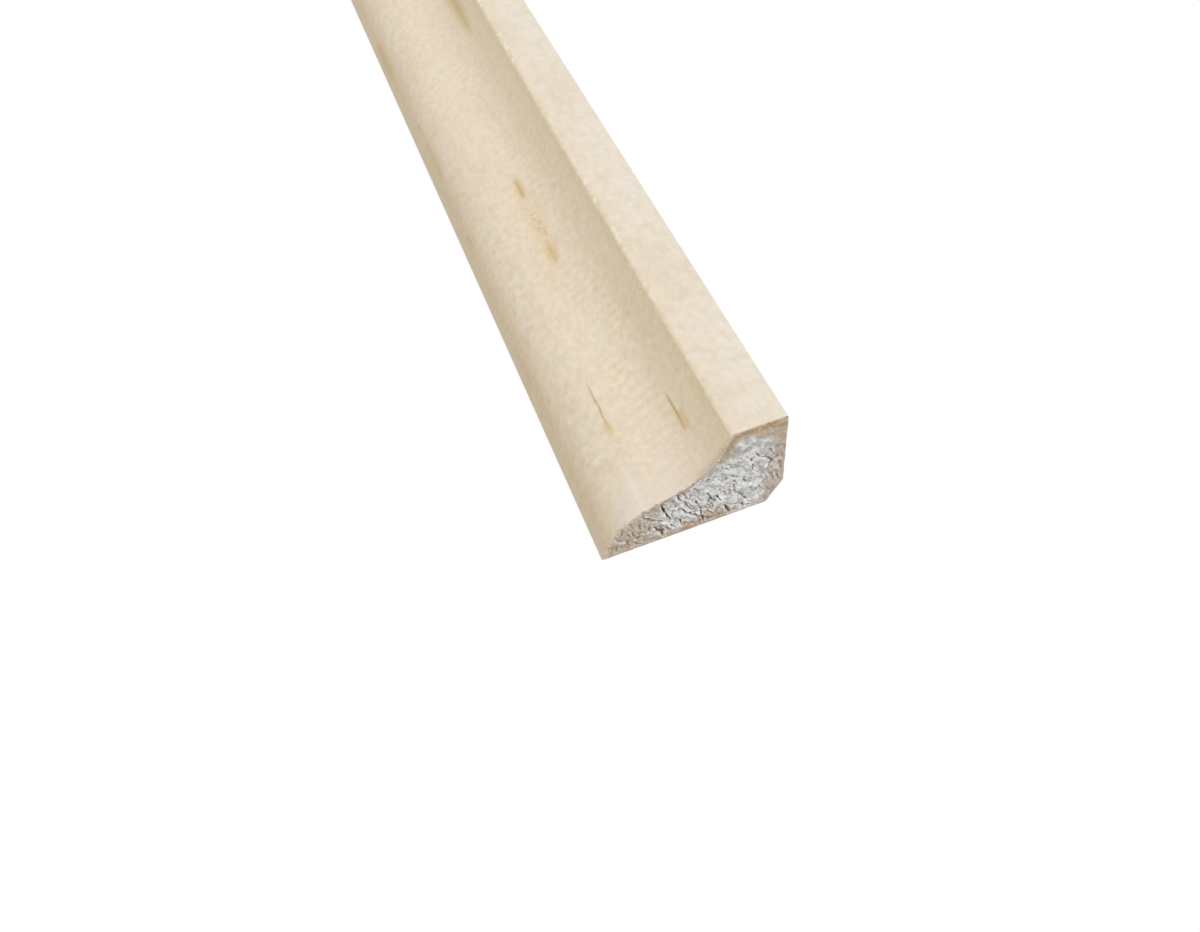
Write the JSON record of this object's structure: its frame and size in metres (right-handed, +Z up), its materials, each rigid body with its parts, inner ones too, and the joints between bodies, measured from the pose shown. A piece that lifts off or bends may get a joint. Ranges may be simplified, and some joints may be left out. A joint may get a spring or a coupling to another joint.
{
  "type": "scotia moulding",
  "caption": "Slim wooden trim strip with a rounded toe, a hollow cove and a flat top edge, covering the gap where a floor or panel meets an upright face.",
  "frame": {"origin": "centre of the bounding box in plan, at the height of the flat bottom", "axes": "+X along the stick, +Y out of the square back, away from the rounded toe, +Z up from the flat bottom to the flat top edge"},
  "size_m": [2.4, 0.019, 0.0125],
  "materials": {
    "wood": "planed, unfinished"
  },
  "bodies": {
    "root": {"scotia_moulding": "wood"}
  },
  "joints": []
}
